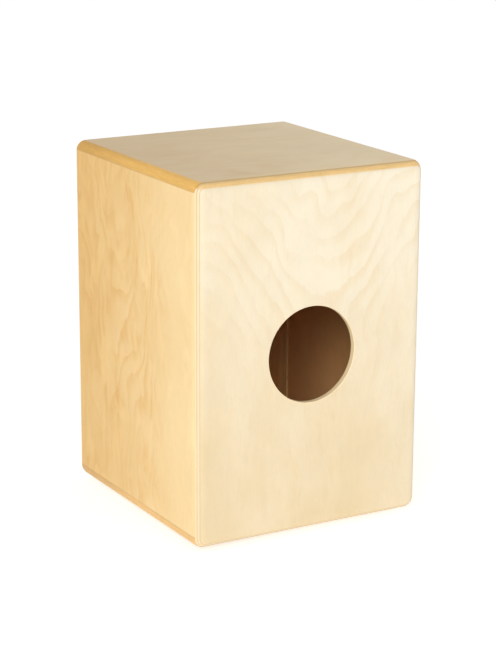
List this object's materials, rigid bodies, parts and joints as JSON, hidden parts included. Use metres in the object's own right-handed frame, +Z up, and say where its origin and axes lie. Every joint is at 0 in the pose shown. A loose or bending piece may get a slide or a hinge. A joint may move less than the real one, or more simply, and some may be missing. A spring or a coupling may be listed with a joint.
{
  "type": "cajon",
  "caption": "Small plywood box drum with a round sound hole in its rear panel, a thin struck front plate, a flat seat and a swinging wire snare inside.",
  "frame": {"origin": "on the floor, under the middle of the body", "axes": "+Z up, -Y the struck front, +Y the rear panel with the sound hole, +X across"},
  "size_m": [0.247, 0.258, 0.355],
  "materials": {
    "birch_panel": "clear satin lacquer",
    "birch_seat": "clear satin lacquer",
    "birch_front": "clear satin lacquer",
    "batten_wood": "bare planed wood",
    "beech": "bare planed wood",
    "foot_rubber": "matt moulded rubber",
    "screw_steel": "zinc plated",
    "plate_steel": "rolled sheet",
    "snare_wire_steel": "bright drawn wire"
  },
  "bodies": {
    "box": {"seat_panel": "birch_seat", "bottom_panel": "birch_panel", "front_plate": "birch_front", "rear_panel": "birch_panel", "side_panel_left": "birch_panel", "side_panel_right": "birch_panel", "front_strip_left": "batten_wood", "front_strip_right": "batten_wood", "rear_batten_left": "batten_wood", "rear_batten_right": "batten_wood", "seat_batten_left": "batten_wood", "seat_batten_right": "batten_wood", "bottom_batten_left": "batten_wood", "bottom_batten_right": "batten_wood", "snare_holder_left": "beech", "snare_holder_right": "beech", "foot_front_left": "foot_rubber", "foot_front_right": "foot_rubber", "foot_rear_left": "foot_rubber", "foot_rear_right": "foot_rubber", "foot_screws": "screw_steel", "holder_screws": "screw_steel"},
    "snare": {"snare_bar": "beech", "snare_end_plate_left": "plate_steel", "snare_end_plate_right": "plate_steel", "snare_wires_left": "snare_wire_steel", "snare_wires_right": "snare_wire_steel", "snare_plate_screws": "screw_steel"}
  },
  "joints": [
    {"name": "snare_swing", "type": "hinge", "parent": "box", "child": "snare", "pos_m": [0, -0.119, 0.331], "axis": [1, 0, 0], "range_deg": [0, 75]}
  ]
}
